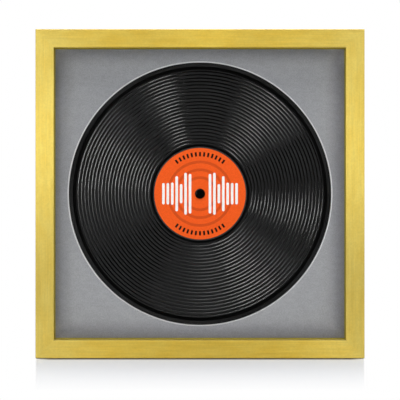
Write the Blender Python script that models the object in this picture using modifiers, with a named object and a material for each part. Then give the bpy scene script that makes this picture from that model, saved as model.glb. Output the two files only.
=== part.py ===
"""Shadow-box frame that shows a 12 inch record on a grey mount.

Metres, +Z up. The front faces -Y. The origin is the middle of the bottom rail's underside.
"""

import math

import bmesh
import bpy
from mathutils import Matrix, Vector

# Rails. The record and the mount's border round it give the frame its side.
RAIL_FACE = 0.021
RAIL_DEPTH = 0.025
RAIL_EDGE_RADIUS = 0.0009
LIP_WIDTH = 0.0085
LIP_THICKNESS = 0.006
MITRE_GAP = 0.0001

# Sheets in the rebate
MOUNT_BORDER = 0.0157
GLAZING_THICKNESS = 0.002
MOUNT_THICKNESS = 0.0015
CARD_THICKNESS = 0.0015
BACKING_THICKNESS = 0.003
PIECE_GAP = 0.0003
FILLET_SETBACK = 0.0005

# Record
RECORD_DIAMETER = 0.3016
RECORD_THICKNESS = 0.0022
SPINDLE_HOLE_DIAMETER = 0.00724
RIM_WIDTH = 0.0045
LEAD_IN_WIDTH = 0.0036
RUN_OUT_WIDTH = 0.0026
LABEL_BEAD_WIDTH = 0.0016
SMOOTH_BAND_WIDTH = 0.0006
GROOVE_DEPTH = 0.0007
GROOVE_SLOPE = 0.0005
RIDGE_COUNT = 22
RIDGE_HEIGHT = 0.0003
RIDGE_SINK = 0.0001
BACK_SINK = 0.0003
EDGE_ROUND = 0.0005
RECORD_CLEARANCE = 0.0005
LABEL_DIAMETER = 0.1052
LABEL_THICKNESS = 0.00025
THIN_GAP = 0.0001

# Stud that holds the record, and its screw
STUD_HEAD_DIAMETER = 0.0117
STUD_HEAD_HEIGHT = 0.0013
STUD_WALL = 0.0014
STUD_FLOOR = 0.0012
STUD_CLEARANCE = 0.0003
STUD_SCREW_HEAD_DIAMETER = 0.009
STUD_SCREW_HEAD_HEIGHT = 0.0014
STUD_SCREW_TIP = 0.0005
STUD_SCREW_END_CLEARANCE = 0.0007

# Turn buttons and their screws
BUTTON_SPACING = 0.200
BUTTON_OVERLAP = 0.0085
BUTTON_THICKNESS = 0.0012
BUTTON_EYE_RADIUS = 0.0048
BUTTON_TIP_RADIUS = 0.0036
WOOD_SCREW_HEAD_DIAMETER = 0.0054
WOOD_SCREW_HEAD_HEIGHT = 0.0016
WOOD_SCREW_SHANK_DIAMETER = 0.0024
WOOD_SCREW_LENGTH = 0.011
WOOD_SCREW_TIP = 0.0025
SCREW_CLEARANCE = 0.0003
CROSS_WIDTH = 0.0008
CROSS_DEPTH = 0.0008
CROSS_SHARE = 0.62

# V nails
NAIL_THICKNESS = 0.0005
NAIL_DEPTH = 0.008
NAIL_SINK = 0.0002
NAIL_CLEARANCE = 0.0002
NAIL_PLACE_SHARES = (0.22, 0.60)
NAIL_WING_SHARE = 0.27

# D-ring hangers
HANGER_RISE = 0.062
RING_WIRE_DIAMETER = 0.0018
RING_STRAIGHT = 0.004
RING_SIDE_CLEARANCE = 0.0006
RING_SCREW_CLEARANCE = 0.0046
STRAP_SHEET = 0.0008
STRAP_WIDTH = 0.0076
EYE_CLEARANCE = 0.0003
EYE_WRAP_DEGREES = 285

# Wall bumpers
BUMPER_DIAMETER = 0.010
BUMPER_HEIGHT = 0.005
BUMPER_INSET = 0.030

# Shares of a head's or a bumper's radius and height, from its flat top outwards
CROWN_SHARES = ((0.55, 0.97), (0.85, 0.82), (1.0, 0.5))
PAN_SHARES = ((0.62, 1.0), (0.94, 0.62))
BUMPER_SHARES = ((0.55, 1.0), (0.82, 0.88), (0.97, 0.6))
SCREW_POINT_SHARE = 0.25

# How finely round shapes are divided, and how far cutters overrun
RECORD_STEPS = 48
WINDOW_STEPS = 96
HEAD_STEPS = 16
STUD_STEPS = 24
ARC_STEPS = 4
OVERRUN = 0.002
MERGE_DISTANCE = 0.00001
SHARP_ANGLE = math.radians(35)

# Worked out from the sizes above
OPENING_SIDE = RECORD_DIAMETER + 2 * MOUNT_BORDER
FRAME_SIDE = OPENING_SIDE + 2 * RAIL_FACE
REBATE_SIDE = OPENING_SIDE + 2 * LIP_WIDTH
HALF_OPENING = OPENING_SIDE / 2
HALF_SIDE = FRAME_SIDE / 2
HALF_REBATE = REBATE_SIDE / 2
WALL = HALF_SIDE - HALF_REBATE
NAIL_WING = WALL * NAIL_WING_SHARE
WALL_MIDDLE = (HALF_SIDE + HALF_REBATE) / 2
FRONT = -RAIL_DEPTH / 2
BACK = RAIL_DEPTH / 2
BOARD_SIDE = REBATE_SIDE - 2 * PIECE_GAP
GLAZING_FRONT = FRONT + LIP_THICKNESS + PIECE_GAP
GLAZING_BACK = GLAZING_FRONT + GLAZING_THICKNESS
BACKING_FRONT = BACK - PIECE_GAP - BACKING_THICKNESS
CARD_FRONT = BACKING_FRONT - PIECE_GAP - CARD_THICKNESS
MOUNT_FRONT = CARD_FRONT - PIECE_GAP - MOUNT_THICKNESS
FILLET_DEPTH = MOUNT_FRONT - GLAZING_BACK - 2 * PIECE_GAP
FILLET_WIDTH = HALF_REBATE - HALF_OPENING - PIECE_GAP - FILLET_SETBACK
RECORD_RADIUS = RECORD_DIAMETER / 2
RECORD_BACK = CARD_FRONT - PIECE_GAP
RECORD_FRONT = RECORD_BACK - RECORD_THICKNESS
LABEL_RADIUS = LABEL_DIAMETER / 2
STUD_SEAT = RECORD_FRONT - THIN_GAP
SPINDLE_HOLE_RADIUS = SPINDLE_HOLE_DIAMETER / 2
BARREL_RADIUS = SPINDLE_HOLE_RADIUS - STUD_CLEARANCE
BORE_RADIUS = BARREL_RADIUS - STUD_WALL
STUD_SCREW_LENGTH = BACK - STUD_SEAT - STUD_FLOOR - STUD_SCREW_END_CLEARANCE
SCREW_HOLE_RADIUS = WOOD_SCREW_SHANK_DIAMETER / 2 + SCREW_CLEARANCE
BUTTON_FRONT = BACK + PIECE_GAP
BUTTON_REACH = WALL / 2 + BUTTON_OVERLAP
EYE_INNER_RADIUS = RING_WIRE_DIAMETER / 2 + EYE_CLEARANCE
EYE_OUTER_RADIUS = EYE_INNER_RADIUS + STRAP_SHEET
STRAP_FRONT = BACK + PIECE_GAP
RING_CORNER_RADIUS = RING_WIRE_DIAMETER / 2 + RING_SIDE_CLEARANCE
HALF_RING = STRAP_WIDTH / 2 + RING_CORNER_RADIUS
RING_REACH = RING_STRAIGHT + HALF_RING + RING_WIRE_DIAMETER / 2
STRAP_SCREW_DROP = RING_REACH + RING_SCREW_CLEARANCE + WOOD_SCREW_HEAD_DIAMETER / 2

FACE_FRONT = Matrix.Rotation(math.radians(90), 4, "X")
FACE_BACK = Matrix.Rotation(math.radians(-90), 4, "X")
SECTION_ALONG_X = Matrix.Rotation(math.radians(120), 4, (1, 1, 1))
SECTION_UPRIGHT = Matrix.Rotation(math.radians(-90), 4, "Y")
SIDES = {"bottom": 0, "left": 90, "top": 180, "right": 270}
CORNERS = {"bottom_left": "bottom", "top_left": "left", "top_right": "top", "bottom_right": "right"}


def clear_scene():
    for obj in list(bpy.data.objects):
        bpy.data.objects.remove(obj)


def new_collection(name, hidden=False):
    collection = bpy.data.collections.new(name)
    bpy.context.scene.collection.children.link(collection)
    collection.hide_render = hidden
    return collection


def new_material(name, colour, roughness, metallic=0.0, alpha=1.0):
    material = bpy.data.materials.new(name)
    material.use_nodes = True
    shader = material.node_tree.nodes["Principled BSDF"]
    shader.inputs["Base Color"].default_value = (*colour, 1.0)
    shader.inputs["Roughness"].default_value = roughness
    shader.inputs["Metallic"].default_value = metallic
    shader.inputs["Alpha"].default_value = alpha
    return material


def add_piece(name, mesh, material, place=None, parent=None):
    """Adds one named piece. Its mesh may be shared with another piece like it."""
    obj = bpy.data.objects.new(name, mesh)
    PIECES.objects.link(obj)
    if not mesh.materials:
        mesh.materials.append(material)
    obj.parent = parent
    obj.matrix_local = place or Matrix()
    return obj


def add_cutter(name, mesh, place=None, parent=None):
    obj = bpy.data.objects.new(name, mesh)
    CUTTERS.objects.link(obj)
    obj.parent = parent
    obj.matrix_local = place or Matrix()
    obj.hide_render = True
    obj.display_type = "WIRE"
    return obj


def cut(obj, cutter, operation="DIFFERENCE"):
    modifier = obj.modifiers.new(cutter.name, "BOOLEAN")
    modifier.operation = operation
    modifier.object = cutter


def finished_mesh(obj, name):
    """The mesh that an object has after its modifiers, or that a curve makes, with its seams welded."""
    bpy.context.view_layer.update()
    graph = bpy.context.evaluated_depsgraph_get()
    mesh = bpy.data.meshes.new_from_object(obj.evaluated_get(graph))
    mesh.name = name
    shape = bmesh.new()
    shape.from_mesh(mesh)
    bmesh.ops.remove_doubles(shape, verts=shape.verts, dist=MERGE_DISTANCE)
    bmesh.ops.recalc_face_normals(shape, faces=shape.faces)
    shape.to_mesh(mesh)
    shape.free()
    mesh.shade_smooth()
    mesh.set_sharp_from_angle(angle=SHARP_ANGLE)
    bpy.data.objects.remove(obj)
    return mesh


def box_mesh(name, width, depth, height):
    shape = bmesh.new()
    bmesh.ops.create_cube(shape, size=1)
    bmesh.ops.scale(shape, vec=(width, depth, height), verts=shape.verts)
    mesh = bpy.data.meshes.new(name)
    shape.to_mesh(mesh)
    shape.free()
    return mesh


def cone_mesh(name, radius_low, radius_high, length, steps):
    shape = bmesh.new()
    bmesh.ops.create_cone(
        shape, cap_ends=True, segments=steps, radius1=radius_low, radius2=radius_high, depth=length
    )
    mesh = bpy.data.meshes.new(name)
    shape.to_mesh(mesh)
    shape.free()
    return mesh


def arc(centre, radius, start, end, steps):
    """Points of an arc, with its two ends, in degrees."""
    turns = [math.radians(start + (end - start) * i / steps) for i in range(steps + 1)]
    return [(centre[0] + radius * math.cos(t), centre[1] + radius * math.sin(t)) for t in turns]


def outline_mesh(name, loops, thickness):
    """A flat outline, with any holes in it, of a thickness along Z about its own plane."""
    curve = bpy.data.curves.new(name, "CURVE")
    curve.dimensions = "2D"
    curve.fill_mode = "BOTH"
    curve.extrude = thickness / 2
    for loop in loops:
        spline = curve.splines.new("POLY")
        spline.points.add(len(loop) - 1)
        for point, (x, y) in zip(spline.points, loop):
            point.co = (x, y, 0, 1)
        spline.use_cyclic_u = True
    obj = bpy.data.objects.new(name, curve)
    CUTTERS.objects.link(obj)
    return finished_mesh(obj, name)


def turned_object(name, profile, steps, closed):
    """A profile in X and Z turned about Z. It runs down its outer side."""
    mesh = bpy.data.meshes.new(name)
    edges = [(i, i + 1) for i in range(len(profile) - 1)]
    if closed:
        edges.append((len(profile) - 1, 0))
    mesh.from_pydata([(x, 0, z) for x, z in profile], edges, [])
    obj = bpy.data.objects.new(name, mesh)
    CUTTERS.objects.link(obj)
    screw = obj.modifiers.new("turned", "SCREW")
    screw.steps = screw.render_steps = steps
    screw.use_merge_vertices = not closed
    screw.merge_threshold = MERGE_DISTANCE
    return obj


def turned_mesh(name, profile, steps, closed=False):
    return finished_mesh(turned_object(name, profile, steps, closed), name)


def at(x, y, z, turn=None):
    return Matrix.Translation((x, y, z)) @ (turn or Matrix())


def side_empties():
    """One empty for each side of the frame, at its middle and turned so that the side lies below it."""
    empties = {}
    for side, degrees in SIDES.items():
        empty = bpy.data.objects.new("side_" + side, None)
        PIECES.objects.link(empty)
        empty.matrix_world = at(0, 0, HALF_SIDE, Matrix.Rotation(math.radians(degrees), 4, "Y"))
        empties[side] = empty
    return empties


def rail_section():
    """The rail's section as (depth, height), for the bottom rail, with its three outer edges rounded."""
    r = RAIL_EDGE_RADIUS
    outer = -HALF_SIDE
    inner = -HALF_OPENING
    return [
        *arc((BACK - r, outer + r), r, 0, -90, ARC_STEPS),
        *arc((FRONT + r, outer + r), r, 270, 180, ARC_STEPS),
        *arc((FRONT + r, inner - r), r, 180, 90, ARC_STEPS),
        (FRONT + LIP_THICKNESS, inner),
        (FRONT + LIP_THICKNESS, -HALF_REBATE),
        (BACK, -HALF_REBATE),
    ]


def nail_outline(growth):
    """A right angle whose corner lies on the mitre and whose wings run out into both rails."""
    low = -NAIL_THICKNESS / 2 - growth
    high = NAIL_THICKNESS / 2 + growth
    tip = NAIL_WING + growth
    return [(low, low), (tip, low), (tip, high), (high, high), (high, tip), (low, tip)]


def nail_places(depth):
    """The two places along the bottom left mitre, seen from the frame's middle, wings outwards."""
    outwards = Matrix.Rotation(math.radians(180), 4, "Y") @ FACE_FRONT
    for share in NAIL_PLACE_SHARES:
        corner = -(HALF_REBATE + WALL * share)
        yield at(corner, depth, corner, outwards)


def make_mitre_cutters(blank):
    side = 2 * (RAIL_FACE + RAIL_DEPTH)
    wedge = box_mesh("mitre_cut", side, side, side)
    reach = (side - MITRE_GAP) / 2
    for sign in (-1, 1):
        turn = Matrix.Rotation(math.radians(-45 * sign), 4, "Y")
        corner = Vector((sign * HALF_SIDE, 0, -HALF_SIDE))
        cut(blank, add_cutter("mitre_cut", wedge, at(*(corner + turn @ Vector((sign * reach, 0, 0))), turn)))


def make_slot_cutters(blank):
    depth = NAIL_DEPTH + NAIL_SINK + NAIL_CLEARANCE + OVERRUN
    slot = outline_mesh("nail_slot", [nail_outline(NAIL_CLEARANCE)], depth)
    for degrees in (SIDES["bottom"], SIDES["right"]):
        corner_turn = Matrix.Rotation(math.radians(degrees), 4, "Y")
        for place in nail_places(BACK + OVERRUN - depth / 2):
            cut(blank, add_cutter("nail_slot", slot, corner_turn @ place))


def make_rails(empties):
    """One rail, cut at both mitres and turned to each side. The side rails have a hole for the hanger too."""
    section = outline_mesh("rail_section", [rail_section()], FRAME_SIDE + OVERRUN)
    section.transform(SECTION_ALONG_X)
    blank = bpy.data.objects.new("rail_blank", section)
    CUTTERS.objects.link(blank)
    make_mitre_cutters(blank)
    make_slot_cutters(blank)
    depth = WOOD_SCREW_LENGTH + OVERRUN
    hole = cone_mesh("pilot_hole", SCREW_HOLE_RADIUS, SCREW_HOLE_RADIUS, depth, HEAD_STEPS)
    hole_y = BACK + OVERRUN - depth / 2
    for x in (-BUTTON_SPACING / 2, BUTTON_SPACING / 2):
        cut(blank, add_cutter("button_hole", hole, at(x, hole_y, -WALL_MIDDLE, FACE_FRONT)))
    rail = finished_mesh(blank, "rail")
    for side, empty in empties.items():
        add_piece("rail_" + side, rail, MATERIALS["gold_foil"], parent=empty)
    for side, x in (("left", -WALL_MIDDLE), ("right", WALL_MIDDLE)):
        place = at(x, hole_y, HALF_SIDE + HANGER_RISE - STRAP_SCREW_DROP, FACE_FRONT)
        cut(PIECES.objects["rail_" + side], add_cutter("hanger_hole", hole, place))


def make_nails(empties):
    nail = outline_mesh("v_nail", [nail_outline(0)], NAIL_DEPTH)
    for corner, side in CORNERS.items():
        for number, place in enumerate(nail_places(BACK - NAIL_SINK - NAIL_DEPTH / 2), 1):
            name = f"v_nail_{corner}_{number}"
            add_piece(name, nail, MATERIALS["nail_steel"], place, empties[side])


def make_sheets():
    glazing = box_mesh("glazing_sheet", BOARD_SIDE, GLAZING_THICKNESS, BOARD_SIDE)
    glazing_y = (GLAZING_FRONT + GLAZING_BACK) / 2
    add_piece("glazing_sheet", glazing, MATERIALS["acrylic"], at(0, glazing_y, HALF_SIDE))

    mount_y = MOUNT_FRONT + MOUNT_THICKNESS / 2
    mount = box_mesh("mount_board", BOARD_SIDE, MOUNT_THICKNESS, BOARD_SIDE)
    board = add_piece("mount_board", mount, MATERIALS["grey_mount"], at(0, mount_y, HALF_SIDE))
    back_radius = RECORD_RADIUS + RECORD_CLEARANCE
    window = cone_mesh(
        "mount_window",
        back_radius - OVERRUN,
        back_radius + MOUNT_THICKNESS + OVERRUN,
        MOUNT_THICKNESS + 2 * OVERRUN,
        WINDOW_STEPS,
    )
    cut(board, add_cutter("mount_window", window, at(0, mount_y, HALF_SIDE, FACE_FRONT)))

    stud_hole = cone_mesh(
        "stud_hole",
        SPINDLE_HOLE_RADIUS,
        SPINDLE_HOLE_RADIUS,
        BACK - CARD_FRONT + 2 * OVERRUN,
        STUD_STEPS,
    )
    hole_place = at(0, (BACK + CARD_FRONT) / 2, HALF_SIDE, FACE_FRONT)
    cutter = add_cutter("stud_hole", stud_hole, hole_place)
    for name, front, thickness, material in (
        ("record_card", CARD_FRONT, CARD_THICKNESS, "card"),
        ("backing_board", BACKING_FRONT, BACKING_THICKNESS, "fibreboard"),
    ):
        mesh = box_mesh(name, BOARD_SIDE, thickness, BOARD_SIDE)
        place = at(0, front + thickness / 2, HALF_SIDE)
        cut(add_piece(name, mesh, MATERIALS[material], place), cutter)


def make_fillets(empties):
    middle_y = GLAZING_BACK + PIECE_GAP + FILLET_DEPTH / 2
    outer = HALF_REBATE - PIECE_GAP
    middle_z = -(outer - FILLET_WIDTH / 2)
    for side, empty in empties.items():
        upright = side in ("left", "right")
        length = 2 * (outer - FILLET_WIDTH - PIECE_GAP) if upright else 2 * outer
        mesh = box_mesh("fillet_" + side, length, FILLET_DEPTH, FILLET_WIDTH)
        add_piece("fillet_" + side, mesh, MATERIALS["gold_foil"], at(0, middle_y, middle_z), empty)


def ridge_points(first, last, low, high):
    """The record's rings: crests an even pitch apart, with a valley on each side of every crest."""
    pitch = (last - first) / (RIDGE_COUNT - 1)
    points = [(first - pitch / 2, low)]
    for number in range(RIDGE_COUNT):
        crest = first + number * pitch
        points += [(crest, high), (crest + pitch / 2, low)]
    return points


def record_profile():
    """From the spindle hole out across the front, down the edge and back to the hole."""
    top = RECORD_THICKNESS
    hole = SPINDLE_HOLE_RADIUS
    recess = LABEL_THICKNESS + THIN_GAP
    label = LABEL_RADIUS + THIN_GAP
    run_out = label + LABEL_BEAD_WIDTH
    ridges_from = run_out + RUN_OUT_WIDTH + SMOOTH_BAND_WIDTH
    rim = RECORD_RADIUS - RIM_WIDTH
    lead_in = rim - LEAD_IN_WIDTH
    pitch = (lead_in - SMOOTH_BAND_WIDTH - ridges_from) / RIDGE_COUNT
    high = top - RIDGE_SINK
    low = high - RIDGE_HEIGHT
    return [
        (hole, top - recess),
        (label, top - recess),
        (label, top),
        (run_out, top),
        (run_out + GROOVE_SLOPE, top - GROOVE_DEPTH),
        (run_out + RUN_OUT_WIDTH - GROOVE_SLOPE, top - GROOVE_DEPTH),
        *ridge_points(ridges_from + pitch / 2, lead_in - SMOOTH_BAND_WIDTH - pitch / 2, low, high),
        (lead_in, low),
        (lead_in + GROOVE_SLOPE, top - GROOVE_DEPTH),
        (rim - GROOVE_SLOPE, top - GROOVE_DEPTH),
        (rim, top),
        (RECORD_RADIUS - EDGE_ROUND, top),
        (RECORD_RADIUS, top - EDGE_ROUND),
        (RECORD_RADIUS, EDGE_ROUND),
        (RECORD_RADIUS - EDGE_ROUND, 0),
        (rim, 0),
        (rim, BACK_SINK),
        (label + LABEL_BEAD_WIDTH, BACK_SINK),
        (label + LABEL_BEAD_WIDTH, 0),
        (label, 0),
        (label, recess),
        (hole, recess),
    ]


def make_record():
    spot = at(0, RECORD_BACK, HALF_SIDE, FACE_FRONT)
    disc = turned_mesh("record_disc", record_profile(), RECORD_STEPS, closed=True)
    add_piece("record_disc", disc, MATERIALS["vinyl"], spot)
    ring = [
        (SPINDLE_HOLE_RADIUS, LABEL_THICKNESS),
        (LABEL_RADIUS, LABEL_THICKNESS),
        (LABEL_RADIUS, 0),
        (SPINDLE_HOLE_RADIUS, 0),
    ]
    label = turned_mesh("label", ring, RECORD_STEPS, closed=True)
    front = at(0, RECORD_FRONT + LABEL_THICKNESS, HALF_SIDE, FACE_FRONT)
    back = at(0, RECORD_BACK, HALF_SIDE, FACE_FRONT)
    add_piece("label_front", label, MATERIALS["label_paper"], front)
    add_piece("label_back", label, MATERIALS["label_paper"], back)


def make_stud():
    head = STUD_HEAD_DIAMETER / 2
    length = BACK - PIECE_GAP - STUD_SEAT
    profile = [
        (0, STUD_HEAD_HEIGHT),
        *[(head * across, STUD_HEAD_HEIGHT * up) for across, up in CROWN_SHARES],
        (head, 0),
        (BARREL_RADIUS, 0),
        (BARREL_RADIUS, -length),
        (BORE_RADIUS, -length),
        (BORE_RADIUS, -STUD_FLOOR),
        (0, -STUD_FLOOR),
    ]
    stud = turned_mesh("record_stud", profile, STUD_STEPS)
    add_piece("record_stud", stud, MATERIALS["black_stud"], at(0, STUD_SEAT, HALF_SIDE, FACE_FRONT))


def screw_mesh(name, head_radius, head_height, shank_radius, length, tip):
    """A pan-head screw with a cross recess. Its head stands on the plane Z = 0 and its shank runs down."""
    profile = [
        (0, head_height),
        *[(head_radius * across, head_height * up) for across, up in PAN_SHARES],
        (head_radius, 0),
        (shank_radius, 0),
        (shank_radius, tip - length),
        (shank_radius * SCREW_POINT_SHARE, -length),
        (0, -length),
    ]
    blank = turned_object(name, profile, HEAD_STEPS, closed=False)
    arm = head_radius * CROSS_SHARE
    half = CROSS_WIDTH / 2
    quarter = [(half, arm), (half, half), (arm, half)]
    quarter_turns = [Matrix.Rotation(math.radians(-90 * i), 2) for i in range(4)]
    cross = [tuple(turn @ Vector(point)) for turn in quarter_turns for point in quarter]
    recess = outline_mesh(name + "_recess", [cross], CROSS_DEPTH + OVERRUN)
    cutter = add_cutter(name + "_recess", recess, at(0, 0, head_height + (OVERRUN - CROSS_DEPTH) / 2))
    cut(blank, cutter)
    return finished_mesh(blank, name)


def make_stud_screw():
    mesh = screw_mesh(
        "stud_screw",
        STUD_SCREW_HEAD_DIAMETER / 2,
        STUD_SCREW_HEAD_HEIGHT,
        BORE_RADIUS - STUD_CLEARANCE,
        STUD_SCREW_LENGTH,
        STUD_SCREW_TIP,
    )
    place = at(0, BACK, HALF_SIDE, FACE_BACK)
    add_piece("stud_screw", mesh, MATERIALS["black_stud"], place)


def button_outline():
    """A tapered leaf: a round eye at the pivot and a smaller round tip, joined by their tangents."""
    tip = BUTTON_REACH - BUTTON_TIP_RADIUS
    lean = math.degrees(math.asin((BUTTON_EYE_RADIUS - BUTTON_TIP_RADIUS) / tip))
    eye = arc((0, 0), BUTTON_EYE_RADIUS, 180 - lean, 360 + lean, 3 * ARC_STEPS)
    end = arc((0, tip), BUTTON_TIP_RADIUS, lean, 180 - lean, 2 * ARC_STEPS)
    hole = arc((0, 0), SCREW_HOLE_RADIUS, 0, 360 - 360 / HEAD_STEPS, HEAD_STEPS - 1)
    return [eye + end, hole]


def make_buttons(empties, screw):
    leaf = outline_mesh("turn_button", button_outline(), BUTTON_THICKNESS)
    leaf_y = BUTTON_FRONT + BUTTON_THICKNESS / 2
    seat_y = BUTTON_FRONT + BUTTON_THICKNESS + THIN_GAP
    for side, empty in empties.items():
        for number, x in enumerate((-BUTTON_SPACING / 2, BUTTON_SPACING / 2), 1):
            name = f"{side}_{number}"
            place = at(x, leaf_y, -WALL_MIDDLE, FACE_FRONT)
            add_piece("turn_button_" + name, leaf, MATERIALS["zinc"], place, empty)
            place = at(x, seat_y, -WALL_MIDDLE, FACE_BACK)
            add_piece("turn_button_screw_" + name, screw, MATERIALS["screw_steel"], place, empty)


def strap_section():
    """The strap's sheet from the side: a flat plate that rolls up into an open eye at the origin."""
    plate_end = -(STRAP_SCREW_DROP + STRAP_WIDTH)
    wrapped = EYE_WRAP_DEGREES - 90
    outer = arc((0, 0), EYE_OUTER_RADIUS, -90, wrapped, 3 * ARC_STEPS)
    inner = arc((0, 0), EYE_INNER_RADIUS, wrapped, -90, 3 * ARC_STEPS)
    return [(plate_end, -EYE_OUTER_RADIUS), *outer, *inner, (plate_end, -EYE_INNER_RADIUS)]


def strap_outline():
    half = STRAP_WIDTH / 2
    top = EYE_OUTER_RADIUS + OVERRUN
    end = arc((0, -STRAP_SCREW_DROP), half, 180, 360, 2 * ARC_STEPS)
    return [(half, top), (-half, top), *end]


def strap_mesh():
    section = outline_mesh("strap_section", [strap_section()], STRAP_WIDTH + OVERRUN)
    section.transform(SECTION_UPRIGHT)
    blank = bpy.data.objects.new("strap_blank", section)
    CUTTERS.objects.link(blank)
    depth = 2 * EYE_OUTER_RADIUS + OVERRUN
    trim = outline_mesh("strap_trim", [strap_outline()], depth)
    cut(blank, add_cutter("strap_trim", trim, FACE_FRONT), "INTERSECT")
    hole = cone_mesh("strap_hole", SCREW_HOLE_RADIUS, SCREW_HOLE_RADIUS, depth, HEAD_STEPS)
    cut(blank, add_cutter("strap_hole", hole, at(0, 0, -STRAP_SCREW_DROP, FACE_FRONT)))
    return finished_mesh(blank, "hanger_strap")


def ring_points():
    """The D-ring's middle line, from its bar at the origin down round the bow."""
    r = RING_CORNER_RADIUS
    return [
        *arc((r - HALF_RING, -r), r, 90, 180, ARC_STEPS // 2),
        *arc((0, -RING_STRAIGHT), HALF_RING, 180, 360, 2 * ARC_STEPS),
        *arc((HALF_RING - r, -r), r, 0, 90, ARC_STEPS // 2),
    ]


def ring_mesh():
    curve = bpy.data.curves.new("hanger_ring", "CURVE")
    curve.dimensions = "3D"
    curve.bevel_depth = RING_WIRE_DIAMETER / 2
    curve.bevel_resolution = 2
    points = ring_points()
    spline = curve.splines.new("POLY")
    spline.points.add(len(points) - 1)
    for point, (x, z) in zip(spline.points, points):
        point.co = (x, 0, z, 1)
    spline.use_cyclic_u = True
    obj = bpy.data.objects.new("hanger_ring", curve)
    CUTTERS.objects.link(obj)
    return finished_mesh(obj, "hanger_ring")


def make_hangers(screw):
    strap = strap_mesh()
    ring = ring_mesh()
    eye_y = STRAP_FRONT + EYE_OUTER_RADIUS
    eye_z = HALF_SIDE + HANGER_RISE
    seat_y = STRAP_FRONT + STRAP_SHEET + THIN_GAP
    for side, x in (("left", -WALL_MIDDLE), ("right", WALL_MIDDLE)):
        add_piece("hanger_strap_" + side, strap, MATERIALS["brass_plate"], at(x, eye_y, eye_z))
        add_piece("hanger_ring_" + side, ring, MATERIALS["brass_plate"], at(x, eye_y, eye_z))
        place = at(x, seat_y, eye_z - STRAP_SCREW_DROP, FACE_BACK)
        add_piece("hanger_screw_" + side, screw, MATERIALS["screw_steel"], place)


def make_bumpers():
    radius = BUMPER_DIAMETER / 2
    profile = [(0, BUMPER_HEIGHT)]
    profile += [(radius * across, BUMPER_HEIGHT * up) for across, up in BUMPER_SHARES]
    profile += [(radius, 0), (0, 0)]
    bumper = turned_mesh("wall_bumper", profile, HEAD_STEPS)
    for side, sign in (("left", -1), ("right", 1)):
        place = at(sign * (HALF_SIDE - BUMPER_INSET), BACK + PIECE_GAP, HALF_SIDE - WALL_MIDDLE, FACE_BACK)
        add_piece("wall_bumper_" + side, bumper, MATERIALS["bumper_rubber"], place)


clear_scene()
PIECES = new_collection("vinyl_record_frame")
CUTTERS = new_collection("cutters", hidden=True)
MATERIALS = {
    "gold_foil": new_material("gold_foil", (0.72, 0.51, 0.11), 0.42, 0.55),
    "nail_steel": new_material("nail_steel", (0.42, 0.42, 0.43), 0.4, 1.0),
    "acrylic": new_material("acrylic", (0.95, 0.97, 0.97), 0.05, 0.0, 0.12),
    "grey_mount": new_material("grey_mount", (0.27, 0.27, 0.28), 0.85),
    "card": new_material("card", (0.75, 0.73, 0.68), 0.9),
    "fibreboard": new_material("fibreboard", (0.36, 0.24, 0.14), 0.8),
    "vinyl": new_material("vinyl", (0.008, 0.008, 0.009), 0.28),
    "label_paper": new_material("label_paper", (0.83, 0.11, 0.02), 0.6),
    "black_stud": new_material("black_stud", (0.01, 0.01, 0.01), 0.35),
    "zinc": new_material("zinc", (0.62, 0.63, 0.65), 0.35, 1.0),
    "screw_steel": new_material("screw_steel", (0.5, 0.5, 0.52), 0.3, 1.0),
    "brass_plate": new_material("brass_plate", (0.72, 0.53, 0.25), 0.3, 1.0),
    "bumper_rubber": new_material("bumper_rubber", (0.03, 0.03, 0.03), 0.75),
}


def main():
    empties = side_empties()
    make_rails(empties)
    make_nails(empties)
    make_sheets()
    make_fillets(empties)
    make_record()
    make_stud()
    make_stud_screw()
    wood_screw = screw_mesh(
        "wood_screw",
        WOOD_SCREW_HEAD_DIAMETER / 2,
        WOOD_SCREW_HEAD_HEIGHT,
        WOOD_SCREW_SHANK_DIAMETER / 2,
        WOOD_SCREW_LENGTH,
        WOOD_SCREW_TIP,
    )
    make_buttons(empties, wood_screw)
    make_hangers(wood_screw)
    make_bumpers()


main()
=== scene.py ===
"""Looks of a gold shadow-box frame that shows a 12 inch record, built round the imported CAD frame.

Metres, +Z up, the front faces -Y. Colours are written as 0 to 255, as a screen shows them.
Tints and levels are factors of linear light.
"""

import math

import bmesh
import bpy
from mathutils import Matrix, Vector


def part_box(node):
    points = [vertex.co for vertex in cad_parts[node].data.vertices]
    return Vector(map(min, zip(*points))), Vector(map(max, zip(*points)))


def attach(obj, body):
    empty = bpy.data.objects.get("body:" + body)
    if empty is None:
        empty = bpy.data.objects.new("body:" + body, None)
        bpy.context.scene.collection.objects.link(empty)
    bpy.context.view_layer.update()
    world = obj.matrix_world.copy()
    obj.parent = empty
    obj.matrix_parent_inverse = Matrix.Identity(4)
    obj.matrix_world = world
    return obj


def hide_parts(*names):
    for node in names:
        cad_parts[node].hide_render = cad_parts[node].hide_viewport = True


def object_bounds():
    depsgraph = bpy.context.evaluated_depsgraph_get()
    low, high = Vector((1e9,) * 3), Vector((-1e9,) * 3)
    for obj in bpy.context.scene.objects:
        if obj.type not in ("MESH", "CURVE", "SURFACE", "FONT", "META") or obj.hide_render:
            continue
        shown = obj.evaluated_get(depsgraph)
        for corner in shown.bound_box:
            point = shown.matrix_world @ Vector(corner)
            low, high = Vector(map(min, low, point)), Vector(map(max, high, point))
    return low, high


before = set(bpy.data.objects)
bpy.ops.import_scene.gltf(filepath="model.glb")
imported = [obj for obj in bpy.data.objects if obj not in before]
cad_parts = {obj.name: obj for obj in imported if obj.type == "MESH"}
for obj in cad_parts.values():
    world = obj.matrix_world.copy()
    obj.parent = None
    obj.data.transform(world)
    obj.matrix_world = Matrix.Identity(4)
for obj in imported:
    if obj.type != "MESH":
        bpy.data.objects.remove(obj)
CAD_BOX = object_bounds()

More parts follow.
